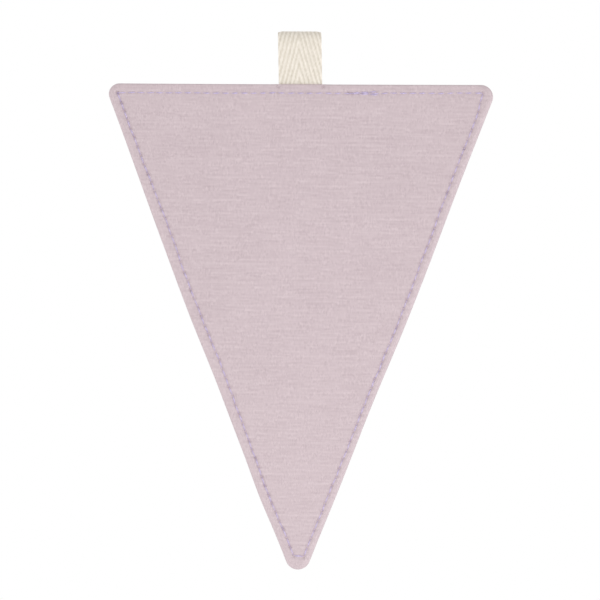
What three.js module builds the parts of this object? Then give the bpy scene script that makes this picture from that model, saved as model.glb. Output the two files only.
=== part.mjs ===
// A bunting pennant: a triangular flag of two cloth panels, sewn together, turned right side out and
// topstitched all round, with a folded herringbone tape caught in the top seam as its hanging loop.
// Millimetres, +Z up, front face towards -Y. The origin lies under the crown of the loop, where the
// cord of a bunting line bears.

import * as THREE from "three";

const { smoothstep, lerp } = THREE.MathUtils;

// The flag's outline: the triangle that its edges make, and how its corners are rounded.
const TOP_HALF_WIDTH = 92.8;
const TRIANGLE_DEPTH = 238.9;
const FLAG_SHIFT = 0.45; // the flag's middle lies this far right of the loop's
const TIP_DRIFT = -0.8; // the tip hangs this far left of the flag's middle
const CORNER_RADIUS = { left: 5.0, right: 5.7, tip: 5.9 };

// The long sides: how far each bows out half way down, and the waves that sewing left in it. A wave's
// place and reach are shares of the side, counted from the top.
const LONG_SIDES = {
  left: {
    bow: 1.4,
    waves: [
      { at: 0.2, reach: 0.12, out: 0.2 },
      { at: 0.6, reach: 0.1, out: -0.55 },
      { at: 0.86, reach: 0.07, out: 0.65 },
    ],
  },
  right: {
    bow: 1.0,
    waves: [
      { at: 0.2, reach: 0.1, out: -0.15 },
      { at: 0.65, reach: 0.12, out: -0.6 },
      { at: 0.86, reach: 0.07, out: 0.1 },
    ],
  },
};

// The cloth and its seam.
const GAP = 0.3; // between neighbouring pieces
const CLOTH_THICKNESS = 1.2;
const SEAM_ALLOWANCE = 8; // turned in, and lying inside the rim
const STITCH_INSET = 4; // the topstitching's distance from the rim

// The tape and the loop it makes.
const TAPE_WIDTH = 20.4;
const TAPE_THICKNESS = 0.9;
const TAPE_TUCK = 8; // how deep each end is caught in the seam
const LOOP_HEIGHT = 25; // of the crown above the flag's top edge
const LOOP_HALF_DEPTH = 4.6; // to the middle of the tape, where the loop is widest
const LOOP_WIDEST_BELOW = 4.6; // that place, under the origin
const TOP_EDGE_Z = TAPE_THICKNESS - LOOP_HEIGHT;

// The panels lift over the tape's ends, and come together again beside and below them.
const POCKET = { halfWidth: 11.2, shoulder: 3, depth: 8.5, fade: 6.5 };
const POCKET_LIFT = TAPE_THICKNESS + GAP;

// How far the hanging flag curls out of its plane, at its corners and its tip. Minus is to the front.
const CURL = { left: -2.2, right: -1.4, tip: 1.8 };

// Soft swells of the cloth: their place, their reach and their height.
const SWELLS = [
  { x: -52, below: 38, reach: 24, rise: 0.45 },
  { x: 34, below: 58, reach: 32, rise: 0.6 },
  { x: -16, below: 88, reach: 24, rise: 0.35 },
  { x: 14, below: 128, reach: 28, rise: 0.55 },
  { x: -4, below: 172, reach: 22, rise: 0.4 },
];
const BACK_SWELL_SHARE = 0.6;

// The panel's section from its rim to its middle. Inset is the distance from the rim, rise the
// height of the face above the seam's plane, and loft the share of the swells that it takes.
const OUTER_FACE = [
  { inset: 0.4, rise: 1.05, loft: 0 },
  { inset: 1.1, rise: 1.75, loft: 0 },
  { inset: 2.1, rise: 2.0, loft: 0 },
  { inset: 3.2, rise: 1.7, loft: 0 },
  { inset: STITCH_INSET, rise: 1.35, loft: 0 },
  { inset: 5, rise: 1.75, loft: 0.1 },
  { inset: 7, rise: 2.0, loft: 0.3 },
  { inset: 10, rise: 1.8, loft: 0.6 },
  { inset: 15, rise: 1.65, loft: 0.9 },
  { inset: 22, rise: 1.6, loft: 1 },
  { inset: 30, rise: 1.6, loft: 1 },
  { inset: 39, rise: 1.65, loft: 1 },
  { inset: 49, rise: 1.7, loft: 1 },
];
const MIDDLE = { rise: 1.7, loft: 1 };
const INNER_INSETS = [10, 22, 39]; // rows of the outer face that the inner face follows

// Steps along each stretch of the outline.
const SIDE_STEPS = 26;
const CORNER_STEPS = 5;
const TOP_STEPS = { plain: 8, shoulder: 2, pocket: 4 };
const EVEN_INSET = 4.4; // rings this near the rim run even with it, and further in they shrink
const LOOP_STEPS = { leg: 10, crown: 14 };

const flagX = (x) => FLAG_SHIFT + x;
const CORNERS = {
  left: new THREE.Vector2(flagX(-TOP_HALF_WIDTH), TOP_EDGE_Z),
  tip: new THREE.Vector2(flagX(TIP_DRIFT), TOP_EDGE_Z - TRIANGLE_DEPTH),
  right: new THREE.Vector2(flagX(TOP_HALF_WIDTH), TOP_EDGE_Z),
};

// The triangle's incentre, which lies equally far from its three edges.
const incentre = (() => {
  const { left, tip, right } = CORNERS;
  const weights = [tip.distanceTo(right), right.distanceTo(left), left.distanceTo(tip)];
  const total = weights[0] + weights[1] + weights[2];
  const point = new THREE.Vector2();
  [left, tip, right].forEach((corner, i) => point.addScaledVector(corner, weights[i] / total));
  return { point, radius: TOP_EDGE_Z - point.y };
})();

// An outline point with the direction from it into the flag. A run goes anticlockwise, seen from the front.
const outlinePoint = (place, inward) => ({ place, inward });

function roundedCorner(before, corner, after, radius) {
  const back = before.clone().sub(corner).normalize();
  const on = after.clone().sub(corner).normalize();
  const halfAngle = Math.acos(back.dot(on)) / 2;
  const middle = back.clone().add(on).normalize();
  const centre = corner.clone().addScaledVector(middle, radius / Math.sin(halfAngle));
  const half = Math.PI / 2 - halfAngle;
  const points = [];
  for (let i = 0; i <= CORNER_STEPS; i++) {
    const turn = lerp(-half, half, i / CORNER_STEPS);
    const inward = middle.clone().rotateAround(new THREE.Vector2(), turn);
    points.push(outlinePoint(centre.clone().addScaledVector(inward, -radius), inward));
  }
  return points;
}

// The points between two rounded corners, at the given shares of the way, moved out by a function of them.
function edgeBetween(from, to, shares, outAt) {
  const inward = from.inward;
  return shares.map((share) => {
    const place = from.place.clone().lerp(to.place, share).addScaledVector(inward, -outAt(share));
    return outlinePoint(place, inward);
  });
}

function sideOut({ bow, waves }, down) {
  return waves.reduce(
    (sum, { at, reach, out }) => sum + out * Math.exp(-(((down - at) / reach) ** 2)),
    bow * Math.sin(Math.PI * down) ** 2,
  );
}

const evenShares = (steps) => Array.from({ length: steps - 1 }, (_, i) => (i + 1) / steps);

// Shares of the way along the top edge, closer together at the pocket for the tape.
function topShares(fromX, toX) {
  const { halfWidth, shoulder } = POCKET;
  const { plain, shoulder: ease, pocket } = TOP_STEPS;
  const stretches = [
    { to: halfWidth + shoulder, steps: plain },
    { to: halfWidth, steps: ease },
    { to: -halfWidth, steps: pocket },
    { to: -halfWidth - shoulder, steps: ease },
    { to: toX, steps: plain },
  ];
  const stations = [];
  let start = fromX;
  for (const { to, steps } of stretches) {
    for (let i = 1; i <= steps; i++) stations.push(lerp(start, to, i / steps));
    start = to;
  }
  return stations.slice(0, -1).map((x) => (x - fromX) / (toX - fromX));
}

function flagOutline() {
  const { left, tip, right } = CORNERS;
  const leftArc = roundedCorner(right, left, tip, CORNER_RADIUS.left);
  const tipArc = roundedCorner(left, tip, right, CORNER_RADIUS.tip);
  const rightArc = roundedCorner(tip, right, left, CORNER_RADIUS.right);
  const sideShares = evenShares(SIDE_STEPS);
  const top = topShares(rightArc.at(-1).place.x, leftArc[0].place.x);
  return [
    ...leftArc,
    ...edgeBetween(leftArc.at(-1), tipArc[0], sideShares, (share) => sideOut(LONG_SIDES.left, share)),
    ...tipArc,
    ...edgeBetween(tipArc.at(-1), rightArc[0], sideShares, (share) => sideOut(LONG_SIDES.right, 1 - share)),
    ...rightArc,
    ...edgeBetween(rightArc.at(-1), leftArc[0], top, () => 0),
  ];
}

const OUTLINE = flagOutline();

// The outline drawn in by a distance: even with the rim at first, then shrinking to the incentre.
function ringPlaces(inset) {
  const even = Math.min(inset, EVEN_INSET);
  const share = 1 - (inset - even) / (incentre.radius - EVEN_INSET);
  return OUTLINE.map(({ place, inward }) => {
    const drawnIn = place.clone().addScaledVector(inward, even);
    return incentre.point.clone().lerp(drawnIn, share);
  });
}

// How far the flag's middle plane stands out of the vertical.
function curlAt({ x, y }) {
  const clear = POCKET.halfWidth + POCKET.shoulder;
  const across = Math.max(0, Math.abs(x) - clear) / (TOP_HALF_WIDTH - clear);
  const down = (TOP_EDGE_Z - y) / TRIANGLE_DEPTH;
  const corner = x < 0 ? CURL.left : CURL.right;
  return corner * across ** 2 * (1 - down) + CURL.tip * down ** 2;
}

function pocketLift({ x, y }) {
  const { halfWidth, shoulder, depth, fade } = POCKET;
  const beside = 1 - smoothstep(Math.abs(x), halfWidth, halfWidth + shoulder);
  const below = 1 - smoothstep(TOP_EDGE_Z - y, depth, depth + fade);
  return POCKET_LIFT * beside * below;
}

function swellAt({ x, y }) {
  return SWELLS.reduce((sum, swell) => {
    const away = Math.hypot(x - swell.x, TOP_EDGE_Z - y - swell.below) / swell.reach;
    return sum + swell.rise * Math.exp(-(away ** 2));
  }, 0);
}

// A closed skin over rings of equal length, with a point at each end.
function skinOver(firstPoint, rings, lastPoint, flipped) {
  const count = rings[0].length;
  const points = [firstPoint, ...rings.flat(), lastPoint];
  const last = points.length - 1;
  const at = (ring, i) => 1 + ring * count + (i % count);
  const faces = [];
  const addFace = (a, b, c) => faces.push(...(flipped ? [a, c, b] : [a, b, c]));
  for (let i = 0; i < count; i++) {
    addFace(0, at(0, i), at(0, i + 1));
    for (let ring = 0; ring + 1 < rings.length; ring++) {
      addFace(at(ring, i), at(ring + 1, i), at(ring + 1, i + 1));
      addFace(at(ring, i), at(ring + 1, i + 1), at(ring, i + 1));
    }
    addFace(at(rings.length - 1, i), last, at(rings.length - 1, i + 1));
  }
  const skin = new THREE.BufferGeometry().setFromPoints(points);
  skin.setIndex(faces);
  skin.computeVertexNormals();
  return skin;
}

// One panel of the flag, with its turned-in seam allowance. Facing is -1 to the front, 1 to the back.
function panelGeometry(facing) {
  const swellShare = facing < 0 ? 1 : BACK_SWELL_SHARE;
  const raised = (place, rise, loft) => {
    const height = rise + pocketLift(place) + loft * swellShare * swellAt(place);
    return new THREE.Vector3(place.x, curlAt(place) + facing * height, place.y);
  };
  const ring = ({ inset, rise, loft }) => ringPlaces(inset).map((place) => raised(place, rise, loft));
  const seamFace = (inset) => ring({ inset, rise: GAP / 2, loft: 0 });
  const insideFace = (row) => ring({ ...row, rise: row.rise - CLOTH_THICKNESS });
  const innerRows = OUTER_FACE.filter((row) => INNER_INSETS.includes(row.inset));
  const rings = [
    ...[...OUTER_FACE].reverse().map(ring),
    seamFace(0),
    seamFace(STITCH_INSET),
    seamFace(SEAM_ALLOWANCE),
    ...innerRows.map(insideFace),
  ];
  const outerMiddle = raised(incentre.point, MIDDLE.rise, MIDDLE.loft);
  const innerMiddle = raised(incentre.point, MIDDLE.rise - CLOTH_THICKNESS, MIDDLE.loft);
  return skinOver(outerMiddle, rings, innerMiddle, facing > 0);
}

// The middle of the tape in the loop's section, as (depth, height): up the front leg, over the crown
// and down the back leg.
function loopLine() {
  const legDepth = GAP / 2 + TAPE_THICKNESS / 2;
  const widestZ = -LOOP_WIDEST_BELOW;
  const frontLeg = [new THREE.Vector2(-legDepth, TOP_EDGE_Z - TAPE_TUCK)];
  for (let i = 0; i < LOOP_STEPS.leg; i++) {
    const share = i / LOOP_STEPS.leg;
    const depth = lerp(legDepth, LOOP_HALF_DEPTH, smoothstep(share, 0, 1));
    frontLeg.push(new THREE.Vector2(-depth, lerp(TOP_EDGE_Z, widestZ, share)));
  }
  const crownRise = TAPE_THICKNESS / 2 + LOOP_WIDEST_BELOW;
  const crown = [];
  for (let i = 0; i <= LOOP_STEPS.crown; i++) {
    const turn = Math.PI * (1 - i / LOOP_STEPS.crown);
    crown.push(new THREE.Vector2(LOOP_HALF_DEPTH * Math.cos(turn), widestZ + crownRise * Math.sin(turn)));
  }
  const backLeg = frontLeg.map(({ x, y }) => new THREE.Vector2(-x, y)).reverse();
  return [...frontLeg, ...crown, ...backLeg];
}

// A line moved sideways by a distance, square to itself at each point.
function offsetLine(line, distance) {
  return line.map((point, i) => {
    const along = line[Math.min(i + 1, line.length - 1)].clone().sub(line[Math.max(i - 1, 0)]).normalize();
    return new THREE.Vector2(point.x - along.y * distance, point.y + along.x * distance);
  });
}

function tapeGeometry() {
  const line = loopLine();
  const outside = offsetLine(line, TAPE_THICKNESS / 2);
  const inside = offsetLine(line, -TAPE_THICKNESS / 2);
  const section = new THREE.Shape([...outside, ...inside.reverse()]);
  const tape = new THREE.ExtrudeGeometry(section, { depth: TAPE_WIDTH, bevelEnabled: false });
  tape.translate(0, 0, -TAPE_WIDTH / 2);
  // The section's plane becomes the loop's depth and height, and its sweep the tape's width.
  const depthAxis = new THREE.Vector3(0, 1, 0);
  const heightAxis = new THREE.Vector3(0, 0, 1);
  const widthAxis = new THREE.Vector3(1, 0, 0);
  return tape.applyMatrix4(new THREE.Matrix4().makeBasis(depthAxis, heightAxis, widthAxis));
}

const mauveCotton = new THREE.MeshStandardMaterial({ color: 0xd3c3c6, roughness: 0.95, metalness: 0 });
const creamTape = new THREE.MeshStandardMaterial({ color: 0xece4d7, roughness: 0.9, metalness: 0 });

function piece(name, geometry, material) {
  const mesh = new THREE.Mesh(geometry, material);
  mesh.name = name;
  return mesh;
}

const pennant = new THREE.Group();
pennant.add(
  piece("front_panel", panelGeometry(-1), mauveCotton),
  piece("back_panel", panelGeometry(1), mauveCotton.clone()),
  piece("tape_loop", tapeGeometry(), creamTape),
);

export default pennant;
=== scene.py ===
"""A bunting pennant of mauve ribbed cotton, topstitched in lilac, hanging by a loop of herringbone tape.

The front and back cloth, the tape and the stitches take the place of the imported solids, in the same frame:
+Z up, the front face towards -Y, the origin under the crown of the loop. Sizes are in millimetres until a
mesh is made from them.
"""

import math

import bpy
import numpy as np
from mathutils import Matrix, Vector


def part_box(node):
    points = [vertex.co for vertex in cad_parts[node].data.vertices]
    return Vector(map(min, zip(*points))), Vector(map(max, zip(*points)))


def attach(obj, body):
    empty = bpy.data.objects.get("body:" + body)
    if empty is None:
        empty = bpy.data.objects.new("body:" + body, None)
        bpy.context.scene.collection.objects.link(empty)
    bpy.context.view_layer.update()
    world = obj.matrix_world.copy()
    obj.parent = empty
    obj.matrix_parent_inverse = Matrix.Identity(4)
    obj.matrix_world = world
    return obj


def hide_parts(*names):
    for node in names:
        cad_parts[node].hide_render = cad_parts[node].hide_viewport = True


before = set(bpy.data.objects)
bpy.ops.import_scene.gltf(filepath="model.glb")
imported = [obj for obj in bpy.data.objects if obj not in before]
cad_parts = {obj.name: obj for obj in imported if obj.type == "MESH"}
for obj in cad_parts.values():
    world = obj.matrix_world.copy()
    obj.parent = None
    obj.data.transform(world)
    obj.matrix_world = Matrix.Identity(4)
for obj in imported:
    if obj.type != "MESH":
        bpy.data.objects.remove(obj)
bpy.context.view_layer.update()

MM = 0.001

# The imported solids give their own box, the height of the top edge, the tape's width and the loop's reach.
TOP_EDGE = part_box("front_panel")[1][2] / MM
TAPE_LOW, TAPE_HIGH = (np.array(corner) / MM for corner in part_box("tape_loop"))
TAPE_WIDTH = TAPE_HIGH[0] - TAPE_LOW[0]

# Which way along Y a panel faces.
FRONT = -1
BACK = 1

# The flag's outline, as its solids have it: a triangle with rounded corners and slightly wavy sides.
# Each wave stands at a share of the way down its side.
TOP_HALF_WIDTH = 92.8
TRIANGLE_DEPTH = 238.9
FLAG_SHIFT = 0.45
TIP_DRIFT = -0.8
CORNER_RADIUS = {"left": 5.0, "right": 5.7, "tip": 5.9}
SIDE_BOW = {"left": 1.4, "right": 1.0}
SIDE_WAVES = {
    "left": [
        {"at": 0.2, "reach": 0.12, "out": 0.2},
        {"at": 0.6, "reach": 0.1, "out": -0.55},
        {"at": 0.86, "reach": 0.07, "out": 0.65},
    ],
    "right": [
        {"at": 0.2, "reach": 0.1, "out": -0.15},
        {"at": 0.65, "reach": 0.12, "out": -0.6},
        {"at": 0.86, "reach": 0.07, "out": 0.1},
    ],
}

# The cloth's section: heights above the plane of the seam, at distances in from the edge. The bead between
# the edge and the stitches is round on the long sides and flat along the top. The edge band is the seam
# allowance and a little more.
SEAM_GAP = 0.03
INNER_GAP = 0.15
CLOTH_THICKNESS = 1.2
CLOTH_OVER_TAPE = 0.6
SEAM_ALLOWANCE = 8.0
EDGE_BAND = SEAM_ALLOWANCE + 1.0
EDGE_ROUND = 0.7
SECTION = [
    {"inset": 0.0, "height": 1.3},
    {"inset": 2.4, "height": 2.3},
    {"inset": 4.6, "height": 1.9},
    {"inset": 7.0, "height": 1.9},
    {"inset": 17.0, "height": 1.65},
]
BEAD_FOOT = SECTION[2]
FLAT_BELOW_TOP = (4.0, 9.0)
FLAT_FROM_CORNER = (4.0, 12.0)

# How the cloth hangs: its corners curl out of the vertical on both sides of the tape, and it swells softly
# between them.
CURL_CLEAR = 16.6
CURL = {"left": -2.2, "right": -1.4, "tip": 1.8}
SWELLS = [
    {"x": -52, "below": 38, "reach": 24, "rise": 0.45},
    {"x": 34, "below": 58, "reach": 32, "rise": 0.6},
    {"x": -16, "below": 88, "reach": 24, "rise": 0.35},
    {"x": 14, "below": 128, "reach": 28, "rise": 0.55},
    {"x": -4, "below": 172, "reach": 22, "rise": 0.4},
]
SWELL_SHARE = {FRONT: 1.0, BACK: 0.6}

# The cloth's ribs run across the flag, broken into short and long dashes by the uneven yarn. One dash passes
# into the next over the middle half of its length.
RIB_PITCH = 2.15
RIB_HEIGHT = 0.06
RIB_WANDER = {"rise": 0.25, "along": 23.0, "down": 31.0, "skew": 2.0}
RIB_BIAS = 0.2
RIB_FADE = (0.3, 2.0)
SHORT_DASH = {"length": 5.0, "share": 0.9}
LONG_DASH = {"length": 14.0, "share": 0.6}
DASH_STEP = (0.25, 0.75)
RIB_SEED = 20
DRAWN_YARN_PITCH = 0.4

# The topstitching: its distance in from the edges, and how it draws in the cloth round each needle hole.
STITCH_LENGTH = 4.45
STITCH_INSET = {"left": 4.3, "right": 3.45, "top_left": 4.5, "top_right": 4.0}
STITCH_WANDER = {
    "left": [{"at": 0.3, "reach": 0.14, "out": -0.9}, {"at": 0.58, "reach": 0.14, "out": -0.8}],
    "right": [{"at": 0.15, "reach": 0.3, "out": -0.65}, {"at": 0.0, "reach": 0.03, "out": -1.4}],
}
STITCH_WOBBLE = 0.12
WOBBLE_SEED = 3
TIP_STITCH_ABOVE = 5.5
GROOVE_REACH = 1.2
HOLE_SPREAD = (0.8, 1.25)
HOLE_SEED = 5
HOLE_LENGTH = 1.0
HOLE_WIDTH = 0.65
SEWING_FADE = (0.3, 1.5)
PINCH = {"aside": 10.4, "below": 0.85, "depth": 2.8, "reach": 0.65}

# Beside the tape the top seam is sewn over twice more. Each pass starts below or above the seam, at its right
# end, and runs into it.
OVERLAPS = {
    "overlap": {"from": 23.0, "to": 37.0, "below": 1.0},
    "tack": {"from": 24.0, "to": 36.0, "below": -0.9},
}

# How deep each run of stitches lies in the cloth.
GROOVE_DEPTH = {"left": 0.25, "tip": 0.2, "right": 0.25, "top": 0.03, "overlap": 0.0, "tack": 0.0}
HOLE_DEPTH = {"left": 1.0, "tip": 0.75, "right": 0.82, "top": 0.34, "overlap": 0.5, "tack": 0.5}
THREAD_SINK = {"left": 0.1, "tip": 0.12, "right": 0.1, "top": 0.05, "overlap": 0.04, "tack": 0.04}

# The sewing thread: a flattened twist that shows in the middle of each stitch and dives at its ends.
THREAD_WIDTH = 0.8
THREAD_FLATNESS = 0.6
THREAD_ARCH = 0.14
THREAD_DIP = 1.6
THREAD_DIVE = 2.5
THREAD_TURNS = 1.1
THREAD_SPREAD = (0.8, 1.15)
THREAD_SEED = 11
THREAD_STEPS = 7
THREAD_SIDES = 8

# The tape: a herringbone of thick warp yarns, caught in the top seam at both ends. The round of its selvedges
# stops just short of a sharp edge.
TAPE_THICKNESS = 0.9
TAPE_TUCK = 8.0
LOOP_WIDEST_BELOW = 4.6
WARP_YARNS = 42
CHEVRON_ASIDE = -1
YARNS_PER_FLOAT = 4
FLOAT_REPEAT = 7.2
FLOAT_SHARPNESS = 1.6
YARN_RELIEF = 0.12
YARN_ROUNDNESS = 1.8
SELVEDGE_ROUND = 0.5
SELVEDGE_STOP = 0.98
TAPE_LEAN = -0.5
TAPE_STEP = 0.4
LOOP_STEPS = 60
COLUMNS_PER_YARN = 4
CROWN_DROOP = {"drop": 0.35, "aside": (8.0, 10.0), "below_crown": (-6.0, 0.0)}
POCKET = {"half_width": 10.6, "shoulder": 3.0, "depth": 8.5, "fade": 9.0}
POCKET_LIFT = TAPE_THICKNESS + 2 * INNER_GAP

# How finely the cloth is drawn: closest at its edge and along the stitches, and in a band under the top edge.
ARC_STEPS = 24
SIDE_STEPS = 160
BEAD_INSETS = 2.8 * np.linspace(0, 1, 9) ** 1.7
STITCH_INSETS = np.arange(3.05, 5.2, 0.25)
ALLOWANCE_INSETS = [5.7, 6.4, 7.2, SEAM_ALLOWANCE]
EDGE_INSETS = np.concatenate([BEAD_INSETS, STITCH_INSETS, ALLOWANCE_INSETS])
MIDDLE_COLUMNS = 106
TOP_BAND_SPLIT = 3
ROWS_PER_RIB = 5
TIP_STEPS = 10
TIP_REACH = 2.0
INNER_INSETS = [1.5, SEAM_ALLOWANCE + 0.5, 11.0, 24.0, 42.0]
INNER_STEP = 4

# The height of the finest yarns and fibres, which the materials only shade.
BUMP_HEIGHT = 0.1

# The photograph's frame: 600 pixels square, with the middle of the tape and the top edge at these pixels.
FRAME_PIXELS = 600
PIXEL = 0.4707
TAPE_PIXEL_X = 300.0
TOP_EDGE_PIXEL_Y = 83.87
CAMERA_ROLL = math.radians(-0.24)
LENS = 200.0
SENSOR = 36.0

# The studio: a white surround, and soft lamps that all face the flag.
FLOOR_BELOW_TIP = 200.0
FLOOR_HALF_WIDTH = 1000.0
FLOOR_GLOW = 0.14
SURROUND_LIGHT = 0.585
LAMPS = [
    {"name": "key", "place": (0, -2300, 1000), "size": 1300, "watts": 18.0},
    {"name": "fill", "place": (120, -400, -360), "size": 150, "watts": 0.25},
    {"name": "left_side", "place": (-1500, 0, -130), "size": 1200, "watts": 6.0},
    {"name": "right_side", "place": (1500, 0, -130), "size": 1200, "watts": 7.5},
    {"name": "back", "place": (0, 2300, 1000), "size": 1300, "watts": 17.0},
]
LAMPS_AIM = np.array([0.0, 0.0, -130.0])


def linear(code):
    """A colour given as an sRGB hex value, as linear red, green, blue and alpha."""
    levels = [int(code[i : i + 2], 16) / 255 for i in (1, 3, 5)]
    return [v / 12.92 if v <= 0.04045 else ((v + 0.055) / 1.055) ** 2.4 for v in levels] + [1.0]


def add_node(tree, kind, inputs=None, **settings):
    """Adds a node with its settings, and sets its inputs or links them to other nodes' outputs."""
    made = tree.nodes.new(kind)
    for name, value in settings.items():
        setattr(made, name, value)
    for socket, value in (inputs or {}).items():
        if isinstance(value, bpy.types.NodeSocket):
            tree.links.new(value, made.inputs[socket])
        else:
            made.inputs[socket].default_value = value
    return made


def smooth(value, start=0.0, end=1.0):
    """An even step from 0 to 1 between the start and the end."""
    share = np.clip((value - start) / (end - start), 0, 1)
    return share * share * (3 - 2 * share)


def blend(a, b, share):
    """The value at a share of the way from a to b."""
    return a + (b - a) * share


def unit(vector):
    """A vector of length 1 in the same direction."""
    return vector / np.linalg.norm(vector)


def dashes(along, row, random):
    """Noise from -1 to 1 in dashes about one unit long, each row of them on its own."""
    shift = random.uniform(0, 1, row.max() + 1)
    values = random.uniform(-1, 1, (row.max() + 1, int(along.max()) + 3))
    place = along + shift[row]
    dash = place.astype(int)
    return blend(values[row, dash], values[row, dash + 1], smooth(place - dash, *DASH_STEP))


class Corner:
    """A corner of the triangle between the corners before and after it, going anticlockwise."""

    def __init__(self, before, place, after):
        back, on = unit(before - place), unit(after - place)
        self.place = place
        self.half_angle = math.acos(back @ on) / 2
        self.middle = unit(back + on)

    def arc(self, radius):
        """Points round the corner, on a circle that touches both edges."""
        centre = self.place + self.middle * radius / math.sin(self.half_angle)
        half = math.pi / 2 - self.half_angle
        turns = np.linspace(-half, half, ARC_STEPS)
        cos, sin = np.cos(turns), np.sin(turns)
        x, z = self.middle
        inward = np.stack([x * cos - z * sin, x * sin + z * cos], axis=1)
        return centre - radius * inward


def side_points(ends, side, inset=0.0, wander=()):
    """Points along a long side, bowed and waved, and drawn in by a distance."""
    start, end = ends
    share = np.linspace(0, 1, SIDE_STEPS)
    down = share if start[1] > end[1] else 1 - share
    out = SIDE_BOW[side] * np.sin(np.pi * down) ** 2 - inset
    for wave in [*SIDE_WAVES[side], *wander]:
        out = out + wave["out"] * np.exp(-(((down - wave["at"]) / wave["reach"]) ** 2))
    along = unit(end - start)
    outward = np.array([along[1], -along[0]])
    return start + np.outer(share, end - start) + np.outer(out, outward)


def at_height(a, b, z):
    """The point at height z on the straight line through a and b."""
    return blend(a, b, (z - a[1]) / (b[1] - a[1]))


def at_place(a, b, x):
    """The point at x on the straight line through a and b."""
    return blend(a, b, (x - a[0]) / (b[0] - a[0]))


def length_along(line):
    """The distance from a line's first point to each of its points."""
    steps = np.linalg.norm(np.diff(line, axis=0), axis=1)
    return np.concatenate([[0.0], np.cumsum(steps)])


def evenly_along(line, spacing):
    """Points on a line at even distances near the given one, from its first point to its last."""
    far = length_along(line)
    places = np.linspace(0, far[-1], max(1, round(far[-1] / spacing)) + 1)
    return np.stack([np.interp(places, far, line[:, axis]) for axis in (0, 1)], axis=1)


def distance_to(line, x, z):
    """The distance from each point to the nearest place on a line."""
    nearest = np.full(x.shape, np.inf)
    for start, end in zip(line[:-1], line[1:]):
        step = end - start
        from_x, from_z = x - start[0], z - start[1]
        share = np.clip((from_x * step[0] + from_z * step[1]) / (step @ step), 0, 1)
        nearest = np.minimum(nearest, np.hypot(from_x - share * step[0], from_z - share * step[1]))
    return nearest


class Outline:
    """The flag's edge and the line of its topstitching, in the plane of the seam as (x, z)."""

    def __init__(self):
        left = np.array([FLAG_SHIFT - TOP_HALF_WIDTH, TOP_EDGE])
        tip = np.array([FLAG_SHIFT + TIP_DRIFT, TOP_EDGE - TRIANGLE_DEPTH])
        right = np.array([FLAG_SHIFT + TOP_HALF_WIDTH, TOP_EDGE])
        corners = {
            "left": Corner(right, left, tip),
            "tip": Corner(left, tip, right),
            "right": Corner(tip, right, left),
        }
        arcs = {name: corner.arc(CORNER_RADIUS[name]) for name, corner in corners.items()}
        self.side_ends = {
            "left": (arcs["left"][-1], arcs["tip"][0]),
            "right": (arcs["tip"][-1], arcs["right"][0]),
        }
        left_side = side_points(self.side_ends["left"], "left")[1:-1]
        right_side = side_points(self.side_ends["right"], "right")[1:-1]
        edge = np.vstack([arcs["left"], left_side, arcs["tip"], right_side, arcs["right"]])
        self.edge = np.vstack([edge, edge[:1]])
        lowest = edge[:, 1].argmin()
        self.lowest = edge[lowest]
        self.left, self.right = edge[: lowest + 1], edge[lowest:]

        # The middle is the centre of the circle that touches all three sides of the triangle.
        opposite = [np.linalg.norm(tip - right), np.linalg.norm(right - left), np.linalg.norm(left - tip)]
        self.middle = np.array(opposite) @ np.stack([left, tip, right]) / sum(opposite)
        self.needle_holes = self.find_needle_holes()

    def find_needle_holes(self):
        """The needle holes of each run of stitches, in the order that they are sewn."""
        lines = {}
        for side, ends in self.side_ends.items():
            lines[side] = side_points(ends, side, STITCH_INSET[side], STITCH_WANDER[side])
        left, right = lines["left"], lines["right"]
        start = at_height(left[0], left[1], TOP_EDGE - STITCH_INSET["top_left"])
        end = at_height(right[-1], right[-2], TOP_EDGE - STITCH_INSET["top_right"])
        turn = self.lowest[1] + TIP_STITCH_ABOVE
        left = np.vstack([start, left[left[:, 1] > turn]])
        right = np.vstack([right[right[:, 1] > turn], end])
        runs = {
            "left": left,
            "tip": np.stack([left[-1], right[0]]),
            "right": right,
            "top": np.stack([end, start]),
        }
        for name, over in OVERLAPS.items():
            run = np.stack([at_place(end, start, over["to"]), at_place(end, start, over["from"])])
            run[0, 1] -= over["below"]
            runs[name] = run
        random = np.random.default_rng(WOBBLE_SEED)
        holes = {name: evenly_along(run, STITCH_LENGTH) for name, run in runs.items()}
        for run in holes.values():
            run[1:-1] += random.normal(0, STITCH_WOBBLE, run[1:-1].shape)
        return holes

    def sides_at(self, z):
        """The flag's left and right edges at the given heights."""
        left = np.interp(-z, -self.left[:, 1], self.left[:, 0])
        right = np.interp(z, self.right[:, 1], self.right[:, 0])
        return left, right


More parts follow.
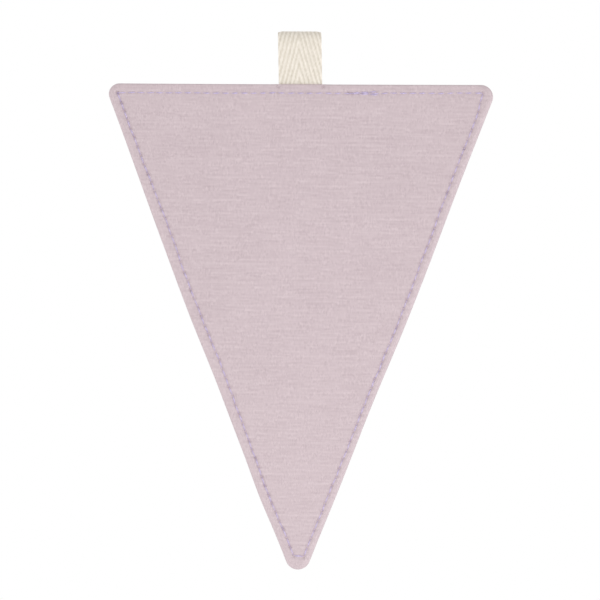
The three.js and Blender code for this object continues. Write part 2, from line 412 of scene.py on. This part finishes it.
class Cloth:
    """The shared surface of the two panels: how high the cloth stands over each place of the seam's plane."""

    def __init__(self, outline):
        self.outline = outline

    def curl(self, x, z):
        """How far the plane of the seam hangs out of the vertical."""
        across = np.maximum(0, np.abs(x) - CURL_CLEAR) / (TOP_HALF_WIDTH - CURL_CLEAR)
        down = (TOP_EDGE - z) / TRIANGLE_DEPTH
        corner = np.where(x < 0, CURL["left"], CURL["right"])
        return corner * across**2 * (1 - down) + CURL["tip"] * down**2

    def pocket(self, x, z):
        """How far the two panels part around the ends of the tape."""
        beside = 1 - smooth(np.abs(x), POCKET["half_width"], POCKET["half_width"] + POCKET["shoulder"])
        below = 1 - smooth(TOP_EDGE - z, POCKET["depth"], POCKET["depth"] + POCKET["fade"])
        return POCKET_LIFT * beside * below

    def swell(self, x, z, inset):
        """The soft swells of the hanging cloth, which fade out at the seam allowance."""
        total = np.zeros(x.shape)
        for spot in SWELLS:
            away = np.hypot(x - spot["x"], TOP_EDGE - z - spot["below"]) / spot["reach"]
            total = total + spot["rise"] * np.exp(-(away**2))
        return total * smooth(inset, SEAM_ALLOWANCE / 2, SECTION[-1]["inset"])

    def plain_height(self, x, z, inset, facing):
        """The panel's face without its sewing and ribs: a round edge, a bead and the flatter middle."""
        height = np.full(inset.shape, SECTION[0]["height"])
        for near, far in zip(SECTION[:-1], SECTION[1:]):
            height = height + (far["height"] - near["height"]) * smooth(inset, near["inset"], far["inset"])
        along_top = 1 - smooth(TOP_EDGE - z, *FLAT_BELOW_TOP)
        flat = along_top * smooth(TOP_HALF_WIDTH - np.abs(x), *FLAT_FROM_CORNER)
        height = blend(height, BEAD_FOOT["height"], flat * (inset < BEAD_FOOT["inset"]))
        edge = np.sqrt(1 - np.clip(1 - inset / EDGE_ROUND, 0, 1) ** 2)
        over_tape = SEAM_GAP + self.pocket(x, z) + CLOTH_OVER_TAPE * edge
        height = np.maximum(SEAM_GAP + (height - SEAM_GAP) * edge, over_tape)
        return height + SWELL_SHARE[facing] * self.swell(x, z, inset)

    def sewing(self, x, z, inset):
        """How far the stitches draw the cloth in: a groove along each run, and a dimple at each hole."""
        random = np.random.default_rng(HOLE_SEED)
        groove = np.zeros(x.shape)
        dimple = np.zeros(x.shape)
        for name, run in self.outline.needle_holes.items():
            beside = distance_to(run, x, z) / GROOVE_REACH
            groove = np.maximum(groove, GROOVE_DEPTH[name] * np.exp(-(beside**2)))
            for (hole_x, hole_z), step in zip(run, np.gradient(run, axis=0)):
                step_x, step_z = unit(step)
                along = (x - hole_x) * step_x + (z - hole_z) * step_z
                across = (z - hole_z) * step_x - (x - hole_x) * step_z
                away = (along / HOLE_LENGTH) ** 2 + (across / HOLE_WIDTH) ** 2
                depth = HOLE_DEPTH[name] * random.uniform(*HOLE_SPREAD)
                dimple = np.maximum(dimple, depth * np.exp(-away))
        beside_tape = np.hypot(np.abs(x) - PINCH["aside"], TOP_EDGE - z - PINCH["below"]) / PINCH["reach"]
        pinch = PINCH["depth"] * np.exp(-(beside_tape**2))
        return (groove + dimple + pinch) * smooth(inset, *SEWING_FADE)

    def ribs(self, x, z, inset, seed):
        """The ribs' heights, from about -1 to 1: each is broken into dashes, some proud and some sunken."""
        random = np.random.default_rng(seed)
        bend = np.sin(x / RIB_WANDER["along"] + RIB_WANDER["skew"] * np.sin(z / RIB_WANDER["down"]))
        place = (z - z.min() + RIB_WANDER["rise"] * (1 + bend)) / RIB_PITCH
        rib = np.rint(place).astype(int)
        wave = np.cos(2 * np.pi * (place - rib))
        short = dashes((x - x.min()) / SHORT_DASH["length"], rib, random)
        long = dashes((x - x.min()) / LONG_DASH["length"], rib, random)
        height = SHORT_DASH["share"] * (RIB_BIAS + short) * wave + LONG_DASH["share"] * long * (1 + wave) / 2
        return height * smooth(inset, *RIB_FADE)


def cloth_rows(outline):
    """Rows of places over the flag, as (x, z) points. The last row is the tip alone."""
    height = TOP_EDGE - outline.lowest[1]
    tip = TIP_REACH * np.linspace(1, 0, TIP_STEPS + 1) ** 2
    body = np.arange(SEAM_ALLOWANCE, height - tip[0], RIB_PITCH / ROWS_PER_RIB)
    middle = np.linspace(0, 1, MIDDLE_COLUMNS + 1)[1:-1]
    rows = []
    for depth in np.concatenate([EDGE_INSETS[:-1], body, height - tip[:-1]]):
        left, right = outline.sides_at(TOP_EDGE - depth)
        margin = min(1, (right - left) / 2 / EDGE_BAND) * EDGE_INSETS
        near_left, near_right = left + margin, right - margin[::-1]
        x = np.concatenate([near_left, blend(near_left[-1], near_right[0], middle), near_right])
        if depth < SEAM_ALLOWANCE:
            fine = np.linspace(0, len(x) - 1, TOP_BAND_SPLIT * (len(x) - 1) + 1)
            x = np.interp(fine, np.arange(len(x)), x)
        rows.append(np.stack([x, np.full(x.shape, TOP_EDGE - depth)], axis=1))
    return [*rows, outline.lowest[None]]


def between_rows(upper, lower):
    """Faces between two rows of vertices, the upper of which may be split finer than the lower."""
    if len(lower) == 1:
        return [[a, lower[0], b] for a, b in zip(upper[:-1], upper[1:])]
    split = (len(upper) - 1) // (len(lower) - 1)
    faces = []
    for i in range(len(lower) - 1):
        above = upper[i * split : (i + 1) * split + 1]
        faces.append([above[0], lower[i], lower[i + 1], *above[:0:-1]])
    return faces


def new_piece(name, vertices, faces, material):
    """A smooth mesh object at the origin, from points in millimetres."""
    mesh = bpy.data.meshes.new(name)
    mesh.from_pydata(np.asarray(vertices) * MM, [], faces)
    mesh.shade_smooth()
    mesh.materials.append(material)
    piece = bpy.data.objects.new(name, mesh)
    bpy.context.scene.collection.objects.link(piece)
    return piece


def add_attribute(piece, name, values):
    """Keeps one number for each vertex, for a material to read."""
    attribute = piece.data.attributes.new(name, "FLOAT", "POINT")
    attribute.data.foreach_set("value", np.asarray(values, dtype=np.float32))


def panel(name, cloth, rows, inset, sewing, facing, material):
    """One panel of the flag as a closed sheet, facing to the front or to the back."""
    x, z = np.vstack(rows).T
    ribs = cloth.ribs(x, z, inset, RIB_SEED + facing)
    height = cloth.plain_height(x, z, inset, facing) - sewing + RIB_HEIGHT * ribs
    points = [np.stack([x, cloth.curl(x, z) + facing * height, z], axis=1)]
    ends = np.cumsum([len(row) for row in rows]).tolist()
    at = [list(range(end - len(row), end)) for row, end in zip(rows, ends)]
    faces = []
    for upper, lower in zip(at[:-1], at[1:]):
        faces += between_rows(upper, lower)

    # The hidden face: rings from the edge to the middle, with fewer points than the edge has.
    edge = [row[0] for row in at] + [row[-1] for row in at[-2::-1]] + at[0][-2::-1]
    marks = [*range(0, len(edge) - 1, INNER_STEP), len(edge) - 1]
    middle = cloth.outline.middle
    reach = TOP_EDGE - middle[1]
    place = points[0][[edge[mark] for mark in marks[:-1]]][:, [0, 2]]
    count = ends[-1]
    rings = []
    for ring_inset in INNER_INSETS:
        points.append(inner_points(cloth, blend(place, middle, ring_inset / reach), ring_inset, facing))
        rings.append([*range(count, count + len(place)), count])
        count += len(place)
    points.append(inner_points(cloth, middle[None], reach, facing))
    for i, (start, end) in enumerate(zip(marks[:-1], marks[1:])):
        faces.append([edge[start], rings[0][i], rings[0][i + 1], *edge[end:start:-1]])
        for ring, following in zip(rings[:-1], rings[1:]):
            faces.append([ring[i], following[i], following[i + 1], ring[i + 1]])
        faces.append([rings[-1][i], count, rings[-1][i + 1]])

    # The faces run round the right way for the front, and the other way for the back.
    if facing == BACK:
        faces = [face[::-1] for face in faces]
    piece = new_piece(name, np.vstack(points), faces, material)
    # The ribs' heights also go to the material, which paints highlight on their crests and shade in their
    # hollows.
    add_attribute(piece, "rib", np.concatenate([ribs, np.zeros(count + 1 - ends[-1])]))
    return piece


def inner_points(cloth, place, inset, facing):
    """Points of a panel's hidden face: by the seam under the allowance, then a cloth's thickness inside."""
    x, z = place[:, 0], place[:, 1]
    if inset <= EDGE_BAND:
        height = INNER_GAP + cloth.pocket(x, z)
    else:
        height = cloth.plain_height(x, z, np.full(x.shape, inset), facing) - CLOTH_THICKNESS
    return np.stack([x, cloth.curl(x, z) + facing * height, z], axis=1)


def loop_line():
    """The middle of the tape in the loop's section as (y, z): up the front leg, over and down the back."""
    leg_depth = INNER_GAP + TAPE_THICKNESS / 2
    wide = TAPE_HIGH[1] - TAPE_THICKNESS / 2
    crown = TAPE_HIGH[2] - TAPE_THICKNESS / 2
    share = np.linspace(0, 1, LOOP_STEPS)[:-1]
    leg_y = np.concatenate([[leg_depth], blend(leg_depth, wide, smooth(share))])
    leg_z = np.concatenate([[TOP_EDGE - TAPE_TUCK], blend(TOP_EDGE, -LOOP_WIDEST_BELOW, share)])
    turn = np.linspace(math.pi, 0, LOOP_STEPS)
    arch_y = wide * np.cos(turn)
    arch_z = -LOOP_WIDEST_BELOW + (crown + LOOP_WIDEST_BELOW) * np.sin(turn)
    front = np.stack([-leg_y, leg_z], axis=1)
    back = np.stack([leg_y, leg_z], axis=1)[::-1]
    return np.vstack([front, np.stack([arch_y, arch_z], axis=1), back])


def tape(name, material):
    """The folded tape as a closed sheet, with the floats of its warp yarns raised on both faces."""
    line = evenly_along(loop_line(), TAPE_STEP)
    far = length_along(line)
    along = np.gradient(line, axis=0)
    along /= np.linalg.norm(along, axis=1)[:, None]
    outward = np.stack([-along[:, 1], along[:, 0]], axis=1)

    yarn_width = TAPE_WIDTH / WARP_YARNS
    across = np.linspace(-1, 1, COLUMNS_PER_YARN * WARP_YARNS + 1) * TAPE_WIDTH / 2
    place = (across + TAPE_WIDTH / 2) / yarn_width
    yarn = np.clip(place.astype(int), 0, WARP_YARNS - 1)
    round_yarn = np.sqrt(1 - (YARN_ROUNDNESS * (place - yarn - 0.5)) ** 2)
    from_chevron = np.abs(yarn - (WARP_YARNS - 1) / 2 - CHEVRON_ASIDE)
    over = np.cos(2 * np.pi * (far[:, None] / FLOAT_REPEAT + from_chevron / YARNS_PER_FLOAT))
    float_rise = 0.5 + 0.5 * np.tanh(FLOAT_SHARPNESS * over)
    float_fall = 1 - float_rise
    from_edge = TAPE_WIDTH / 2 - np.abs(across)
    selvedge = np.sqrt(1 - np.clip(1 - from_edge / SELVEDGE_ROUND, 0, SELVEDGE_STOP) ** 2)

    x = across + TAPE_LEAN * (line[:, 1:] - TOP_EDGE) / -TOP_EDGE
    droop = smooth(np.abs(across), *CROWN_DROOP["aside"]) * smooth(line[:, 1:], *CROWN_DROOP["below_crown"])
    core = TAPE_THICKNESS / 2 - 2 * YARN_RELIEF
    skins = []
    for rise, side in ((float_rise, 1), (float_fall, -1)):
        height = side * (core + YARN_RELIEF * (round_yarn + rise)) * selvedge
        y = line[:, :1] + outward[:, :1] * height
        z = line[:, 1:] + outward[:, 1:] * height - CROWN_DROOP["drop"] * droop
        skins.append(np.stack([x, y, z], axis=2))
    section = np.concatenate([skins[0], skins[1][:, ::-1]], axis=1)

    rows, count = section.shape[:2]
    at = np.arange(rows * count).reshape(rows, count)
    following = np.roll(at, -1, axis=1)
    faces = np.stack([at[:-1], at[1:], following[1:], following[:-1]], axis=2).reshape(-1, 4).tolist()
    for ring, step in ((at[0].tolist(), 1), (at[-1].tolist(), -1)):
        for i in range(count // 2 - 1):
            end_face = [ring[i], ring[i + 1], ring[count - 2 - i], ring[count - 1 - i]]
            faces.append(end_face[::step])
    piece = new_piece(name, section.reshape(-1, 3), faces, material)
    # The material reads this rise as painted highlight on the yarns' crowns and painted shade between the
    # yarns and where they pass under.
    raised = np.concatenate([round_yarn * float_rise, (round_yarn * float_fall)[:, ::-1]], axis=1)
    add_attribute(piece, "float", raised.ravel())
    return piece, far[-1]


def stitch_tree():
    """Geometry Nodes: a twisted thread over each edge of the needle-hole lines, dipping at both ends."""
    tree = bpy.data.node_groups.new("topstitch", "GeometryNodeTree")
    sockets = tree.interface
    sockets.new_socket("Geometry", in_out="INPUT", socket_type="NodeSocketGeometry")
    for name in ("Width", "Flatness", "Stitch", "Arch", "Dip", "Dive", "Twist", "Thinnest", "Thickest"):
        sockets.new_socket(name, in_out="INPUT", socket_type="NodeSocketFloat")
    sockets.new_socket("Outward", in_out="INPUT", socket_type="NodeSocketVector")
    sockets.new_socket("Seed", in_out="INPUT", socket_type="NodeSocketInt")
    sockets.new_socket("Material", in_out="INPUT", socket_type="NodeSocketMaterial")
    sockets.new_socket("Geometry", in_out="OUTPUT", socket_type="NodeSocketGeometry")
    given = add_node(tree, "NodeGroupInput").outputs

    # One stitch: a line along X that arches up in the middle and dives into the cloth at its ends.
    back = add_node(tree, "ShaderNodeMath", {0: given["Stitch"], 1: -0.5}, operation="MULTIPLY")
    half = add_node(tree, "ShaderNodeMath", {0: given["Stitch"], 1: 0.5}, operation="MULTIPLY")
    start = add_node(tree, "ShaderNodeCombineXYZ", {"X": back.outputs[0]}).outputs[0]
    end = add_node(tree, "ShaderNodeCombineXYZ", {"X": half.outputs[0]}).outputs[0]
    line = add_node(tree, "GeometryNodeCurvePrimitiveLine", {"Start": start, "End": end})
    line = add_node(tree, "GeometryNodeResampleCurve", {"Curve": line.outputs[0], "Count": THREAD_STEPS})
    share = add_node(tree, "GeometryNodeSplineParameter").outputs["Factor"]
    twice = add_node(tree, "ShaderNodeMath", {0: share, 1: 2.0, 2: -1.0}, operation="MULTIPLY_ADD")
    aside = add_node(tree, "ShaderNodeMath", {0: twice.outputs[0]}, operation="ABSOLUTE")
    dive = add_node(tree, "ShaderNodeMath", {0: aside.outputs[0], 1: given["Dive"]}, operation="POWER")
    dip = add_node(tree, "ShaderNodeMath", {0: dive.outputs[0], 1: given["Dip"]}, operation="MULTIPLY")
    rise = add_node(tree, "ShaderNodeMath", {0: given["Arch"], 1: dip.outputs[0]}, operation="SUBTRACT")
    lift = add_node(tree, "ShaderNodeCombineXYZ", {"Z": rise.outputs[0]})
    line = add_node(tree, "GeometryNodeSetPosition", {"Geometry": line.outputs[0], "Offset": lift.outputs[0]})
    tilt = add_node(tree, "ShaderNodeMath", {0: share, 1: given["Twist"]}, operation="MULTIPLY")
    line = add_node(tree, "GeometryNodeSetCurveTilt", {"Curve": line.outputs[0], "Tilt": tilt.outputs[0]})

    # The thread's section is a flattened ring, swept along the line.
    radius = add_node(tree, "ShaderNodeMath", {0: given["Width"], 1: 0.5}, operation="MULTIPLY")
    ring = add_node(
        tree,
        "GeometryNodeCurvePrimitiveCircle",
        {"Resolution": THREAD_SIDES, "Radius": radius.outputs[0]},
    )
    flat = add_node(tree, "ShaderNodeCombineXYZ", {"X": 1.0, "Y": given["Flatness"], "Z": 1.0})
    ring = add_node(tree, "GeometryNodeTransform", {"Geometry": ring.outputs[0], "Scale": flat.outputs[0]})
    thread = add_node(
        tree,
        "GeometryNodeCurveToMesh",
        {"Curve": line.outputs[0], "Profile Curve": ring.outputs[0], "Fill Caps": True},
    )
    thread = add_node(tree, "GeometryNodeSetShadeSmooth", {"Geometry": thread.outputs[0]})

    # One stitch over each edge, turned along it and facing out of the cloth.
    ends = add_node(tree, "GeometryNodeInputMeshEdgeVertices").outputs
    along = add_node(
        tree,
        "ShaderNodeVectorMath",
        {0: ends["Position 2"], 1: ends["Position 1"]},
        operation="SUBTRACT",
    )
    held = add_node(tree, "GeometryNodeCaptureAttribute", {"Geometry": given["Geometry"]}, domain="EDGE")
    held.capture_items.new("VECTOR", "Along")
    tree.links.new(along.outputs[0], held.inputs["Along"])
    points = add_node(tree, "GeometryNodeMeshToPoints", {"Mesh": held.outputs["Geometry"]}, mode="EDGES")
    turned = add_node(tree, "FunctionNodeAlignRotationToVector", {"Vector": held.outputs["Along"]}, axis="X")
    turned = add_node(
        tree,
        "FunctionNodeAlignRotationToVector",
        {"Rotation": turned.outputs[0], "Vector": given["Outward"]},
        axis="Z",
        pivot_axis="X",
    )
    length = add_node(tree, "ShaderNodeVectorMath", {0: held.outputs["Along"]}, operation="LENGTH")
    stretch = add_node(
        tree,
        "ShaderNodeMath",
        {0: length.outputs["Value"], 1: given["Stitch"]},
        operation="DIVIDE",
    )
    uneven = add_node(
        tree,
        "FunctionNodeRandomValue",
        {2: given["Thinnest"], 3: given["Thickest"], "Seed": given["Seed"]},
        data_type="FLOAT",
    )
    size = add_node(
        tree,
        "ShaderNodeCombineXYZ",
        {"X": stretch.outputs[0], "Y": uneven.outputs[1], "Z": uneven.outputs[1]},
    )
    stitches = add_node(
        tree,
        "GeometryNodeInstanceOnPoints",
        {
            "Points": points.outputs[0],
            "Instance": thread.outputs[0],
            "Rotation": turned.outputs[0],
            "Scale": size.outputs[0],
        },
    )
    real = add_node(tree, "GeometryNodeRealizeInstances", {"Geometry": stitches.outputs[0]})
    dyed = add_node(
        tree,
        "GeometryNodeSetMaterial",
        {"Geometry": real.outputs[0], "Material": given["Material"]},
    )
    add_node(tree, "NodeGroupOutput", {"Geometry": dyed.outputs[0]})
    return tree


def stitches(name, cloth, tree, facing, material):
    """The topstitching on one face, made by Geometry Nodes from its lines of needle holes."""
    holes, edges = [], []
    for run_name, run in cloth.outline.needle_holes.items():
        x, z = run[:, 0], run[:, 1]
        inset = distance_to(cloth.outline.edge, x, z)
        height = cloth.plain_height(x, z, inset, facing) - GROOVE_DEPTH[run_name] - THREAD_SINK[run_name]
        y = cloth.curl(x, z) + facing * height
        edges += [(len(holes) + i, len(holes) + i + 1) for i in range(len(run) - 1)]
        holes += np.stack([x, y, z], axis=1).tolist()
    lines = bpy.data.meshes.new(name + "_holes")
    lines.from_pydata(np.array(holes) * MM, edges, [])
    source = bpy.data.objects.new(name + "_holes", lines)
    bpy.context.scene.collection.objects.link(source)
    modifier = source.modifiers.new("topstitch", "NODES")
    modifier.node_group = tree
    settings = {
        "Width": THREAD_WIDTH * MM,
        "Flatness": THREAD_FLATNESS,
        "Stitch": STITCH_LENGTH * MM,
        "Arch": THREAD_ARCH * MM,
        "Dip": THREAD_DIP * MM,
        "Dive": THREAD_DIVE,
        "Twist": THREAD_TURNS * 2 * math.pi,
        "Thinnest": THREAD_SPREAD[0],
        "Thickest": THREAD_SPREAD[1],
        "Outward": (0.0, float(facing), 0.0),
        "Seed": THREAD_SEED + facing,
        "Material": material,
    }
    for item in tree.interface.items_tree:
        if item.in_out == "INPUT" and item.name in settings:
            modifier[item.identifier] = settings[item.name]
    made = bpy.data.meshes.new_from_object(source.evaluated_get(bpy.context.evaluated_depsgraph_get()))
    made.name = name
    bpy.data.objects.remove(source)
    piece = bpy.data.objects.new(name, made)
    bpy.context.scene.collection.objects.link(piece)
    return piece


def new_material(name, lumps):
    """A material with no surface yet, and its unevenness as noise about zero.

    The lumps of the noise have the given sizes in millimetres, along X, Y and Z of the object.
    """
    material = bpy.data.materials.new(name)
    material.use_nodes = True
    tree = material.node_tree
    tree.nodes.clear()
    place = add_node(tree, "ShaderNodeTexCoord").outputs["Object"]
    uneven = {}
    for lump, size in lumps.items():
        scale = [1 / (MM * length) for length in size]
        lumpy = add_node(tree, "ShaderNodeMapping", {"Vector": place, "Scale": scale}).outputs[0]
        noise = add_node(tree, "ShaderNodeTexNoise", {"Vector": lumpy, "Scale": 1.0, "Detail": 2.0})
        centred = add_node(tree, "ShaderNodeMath", {0: noise.outputs[0], 1: -0.5}, operation="ADD")
        uneven[lump] = centred.outputs[0]
    return material, uneven


def surface(material, tones, weights, raised, bump, shader, pale=0.5):
    """A material's surface: two tones and a bump, each from weighted values.

    The pale tone's share is what is given, plus the sum of the weighted values.
    """
    tree = material.node_tree
    mixed = {"share": pale, "height": 0.5}
    for use, terms in (("share", weights), ("height", raised)):
        for value, weight in terms:
            mixed[use] = add_node(
                tree,
                "ShaderNodeMath",
                {0: value, 1: weight, 2: mixed[use]},
                operation="MULTIPLY_ADD",
            ).outputs[0]
    dark, light = tones
    colour = add_node(
        tree,
        "ShaderNodeMix",
        {0: mixed["share"], 6: linear(dark), 7: linear(light)},
        data_type="RGBA",
    )
    normal = add_node(
        tree,
        "ShaderNodeBump",
        {"Height": mixed["height"], "Strength": bump, "Distance": BUMP_HEIGHT * MM},
    )
    principled = add_node(
        tree,
        "ShaderNodeBsdfPrincipled",
        {"Base Color": colour.outputs[2], "Normal": normal.outputs[0], **shader},
    )
    add_node(tree, "ShaderNodeOutputMaterial", {"Surface": principled.outputs[0]})


def ribbed_cotton():
    """Ribbed cotton, woven and then dyed mauve: a matt cloth whose uneven yarns show as pale and dark dashes,
    with painted highlight on the ribs' crests and on the yarns where they cross over, and painted shade in
    the hollows between them.

    Its yarns are about 0.3 mm apart, too fine to show, so they are drawn a little coarser, and the thick
    places in them as lumps 0.6 mm across.
    """
    lumps = {
        "weft": (9.0, 4.0, 0.6),
        "warp": (0.6, 4.0, 1.3),
        "patch": (4.5, 6.0, 2.4),
        "cloud": (16.0, 8.0, 12.0),
        "drift": (3.0, 3.0, 3.0),
    }
    material, uneven = new_material("ribbed_cotton", lumps)
    tree = material.node_tree
    # The ribs' heights, read as painted highlight on their crests and painted shade in their hollows.
    rib = add_node(tree, "ShaderNodeAttribute", attribute_name="rib").outputs["Fac"]

    # The upright yarns show in patches.
    shown = add_node(
        tree,
        "ShaderNodeMapRange",
        {"Value": uneven["patch"], "From Min": -0.1, "From Max": 0.14, "To Min": 0.35},
        interpolation_type="SMOOTHSTEP",
    ).outputs[0]
    warp = add_node(tree, "ShaderNodeMath", {0: uneven["warp"], 1: shown}, operation="MULTIPLY").outputs[0]

    # A plain weave: one yarn over, one under, both ways, drifting a little. It raises the bump and also pales
    # the colour where a yarn crosses over: painted highlight there, painted shade where it passes under.
    place = add_node(tree, "ShaderNodeTexCoord").outputs["Object"]
    along = add_node(tree, "ShaderNodeSeparateXYZ", {0: place}).outputs
    weave = 1.0
    for axis in ("X", "Z"):
        turn = add_node(
            tree,
            "ShaderNodeMath",
            {0: along[axis], 1: math.pi / (DRAWN_YARN_PITCH * MM), 2: uneven["drift"]},
            operation="MULTIPLY_ADD",
        ).outputs[0]
        wave = add_node(tree, "ShaderNodeMath", {0: turn}, operation="SINE").outputs[0]
        weave = add_node(tree, "ShaderNodeMath", {0: wave, 1: weave}, operation="MULTIPLY").outputs[0]

    surface(
        material,
        tones=("#c2b1b6", "#d5c5c9"),
        weights=[(rib, 0.23), (uneven["weft"], 0.6), (warp, 2.4), (uneven["cloud"], 0.3), (weave, 0.2)],
        raised=[(uneven["weft"], 0.6), (warp, 1.2), (weave, 0.4)],
        bump=0.5,
        shader={"Roughness": 0.92, "Specular IOR Level": 0.2, "Sheen Weight": 0.12, "Sheen Roughness": 0.6},
    )
    return material


def herringbone_tape():
    """Undyed cotton tape in herringbone twill: warm cream yarns, with painted highlight on the crowns of the
    yarns where they float over the weft and painted shade between the yarns and where they pass under it.
    """
    material, uneven = new_material("herringbone_tape", {"yarn": (0.5, 0.8, 1.3), "fibre": (0.16, 0.3, 0.5)})
    # The yarns' rise, read as painted highlight on their crowns and painted shade between them.
    float_painted_light = add_node(material.node_tree, "ShaderNodeAttribute", attribute_name="float").outputs["Fac"]
    surface(
        material,
        tones=("#d3caba", "#f8f1e7"),
        pale=0.25,
        weights=[(float_painted_light, 0.65), (uneven["yarn"], 1.1)],
        raised=[(uneven["fibre"], 1.0)],
        bump=0.5,
        shader={"Roughness": 0.88, "Specular IOR Level": 0.25, "Sheen Weight": 0.1, "Sheen Roughness": 0.5},
    )
    return material


def lilac_thread():
    """Spun polyester sewing thread, dyed lilac: a soft sheen, with painted shade in the low places between
    the plies.
    """
    material, uneven = new_material("lilac_thread", {"ply": (0.5, 0.5, 0.5)})
    # The ply noise lowers the bump and darkens the colour together: painted shade in the low places.
    surface(
        material,
        tones=("#c3b5d4", "#d7c9e7"),
        weights=[(uneven["ply"], 1.0)],
        raised=[(uneven["ply"], 1.0)],
        bump=0.4,
        shader={"Roughness": 0.65, "Specular IOR Level": 0.3, "Sheen Weight": 0.1, "Sheen Roughness": 0.4},
    )
    return material


def studio_paper():
    """White background paper: matt, with hardly any grain, and glowing a little so that it stays pale."""
    material, uneven = new_material("studio_paper", {"grain": (3.0, 3.0, 3.0)})
    surface(
        material,
        tones=("#f4f4f4", "#f8f8f8"),
        weights=[(uneven["grain"], 1.0)],
        raised=[(uneven["grain"], 1.0)],
        bump=0.05,
        shader={"Roughness": 0.9, "Emission Color": linear("#ffffff"), "Emission Strength": FLOOR_GLOW},
    )
    return material


def set_studio(outline):
    """A pale floor under the hanging flag, a white surround, and soft lamps on all sides."""
    scene = bpy.context.scene
    low = outline.lowest[1] - FLOOR_BELOW_TIP
    far = FLOOR_HALF_WIDTH
    corners = [(-far, -far, low), (far, -far, low), (far, far, low), (-far, far, low)]
    new_piece("floor", corners, [[0, 1, 2, 3]], studio_paper())

    world = bpy.data.worlds.new("white_surround")
    world.use_nodes = True
    tree = world.node_tree
    tree.nodes.clear()
    light = add_node(tree, "ShaderNodeBackground", {"Color": linear("#ffffff"), "Strength": SURROUND_LIGHT})
    seen = add_node(tree, "ShaderNodeBackground", {"Color": linear("#ffffff"), "Strength": 1.0})
    ray = add_node(tree, "ShaderNodeLightPath").outputs["Is Camera Ray"]
    mix = add_node(tree, "ShaderNodeMixShader", {0: ray, 1: light.outputs[0], 2: seen.outputs[0]})
    add_node(tree, "ShaderNodeOutputWorld", {"Surface": mix.outputs[0]})
    scene.world = world

    for lamp in LAMPS:
        data = bpy.data.lights.new(lamp["name"], "AREA")
        data.size = lamp["size"] * MM
        data.energy = lamp["watts"]
        holder = bpy.data.objects.new(lamp["name"], data)
        place = np.array(lamp["place"], dtype=float)
        holder.location = place * MM
        dx, dy, dz = LAMPS_AIM - place
        holder.rotation_euler = (math.atan2(math.hypot(dx, dy), -dz), 0.0, math.atan2(-dx, dy))
        scene.collection.objects.link(holder)


def set_camera():
    """The camera straight in front of the flag, so that its pixels fall where the photograph's do."""
    scene = bpy.context.scene
    data = bpy.data.cameras.new("camera")
    data.lens = LENS
    data.sensor_width = SENSOR
    camera = bpy.data.objects.new("camera", data)
    middle = (FRAME_PIXELS - 1) / 2
    distance = FRAME_PIXELS * PIXEL * LENS / SENSOR
    across = (middle - TAPE_PIXEL_X) * PIXEL
    down = (middle - TOP_EDGE_PIXEL_Y) * PIXEL
    x = across * math.cos(CAMERA_ROLL) - down * math.sin(CAMERA_ROLL)
    z = TOP_EDGE - across * math.sin(CAMERA_ROLL) - down * math.cos(CAMERA_ROLL)
    camera.location = (x * MM, -distance * MM, z * MM)
    camera.rotation_euler = (math.pi / 2, CAMERA_ROLL, 0.0)
    scene.collection.objects.link(camera)
    scene.camera = camera
    scene.view_settings.view_transform = "Standard"


def area_inside(line):
    """The area that a closed line goes round."""
    x, z = line[:, 0], line[:, 1]
    return abs(np.sum(x[:-1] * z[1:] - x[1:] * z[:-1])) / 2


def build():
    """Makes each piece, fixes it to the root body and hides the imported solids that the pieces take the
    place of, then sets the studio and the camera.
    """
    outline = Outline()
    cloth = Cloth(outline)
    cotton, thread, cream = ribbed_cotton(), lilac_thread(), herringbone_tape()
    rows = cloth_rows(outline)
    places = np.vstack(rows).T
    inset = distance_to(outline.edge, *places)
    sewing = cloth.sewing(*places, inset)
    tree = stitch_tree()

    loop, tape_length = tape("tape", cream)
    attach(loop, "root")
    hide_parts("tape_loop")

    # Each panel was cut with a seam allowance all round.
    cut_area = area_inside(outline.edge) + length_along(outline.edge)[-1] * SEAM_ALLOWANCE
    cut_area += math.pi * SEAM_ALLOWANCE**2
    for name, facing in (("front", FRONT), ("back", BACK)):
        sheet = panel(name + "_cloth", cloth, rows, inset, sewing, facing, cotton)
        sewn = stitches(name + "_stitches", cloth, tree, facing, thread)
        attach(sheet, "root")
        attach(sewn, "root")
        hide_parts(name + "_panel")
    bpy.data.node_groups.remove(tree)
    set_studio(outline)
    set_camera()


build()
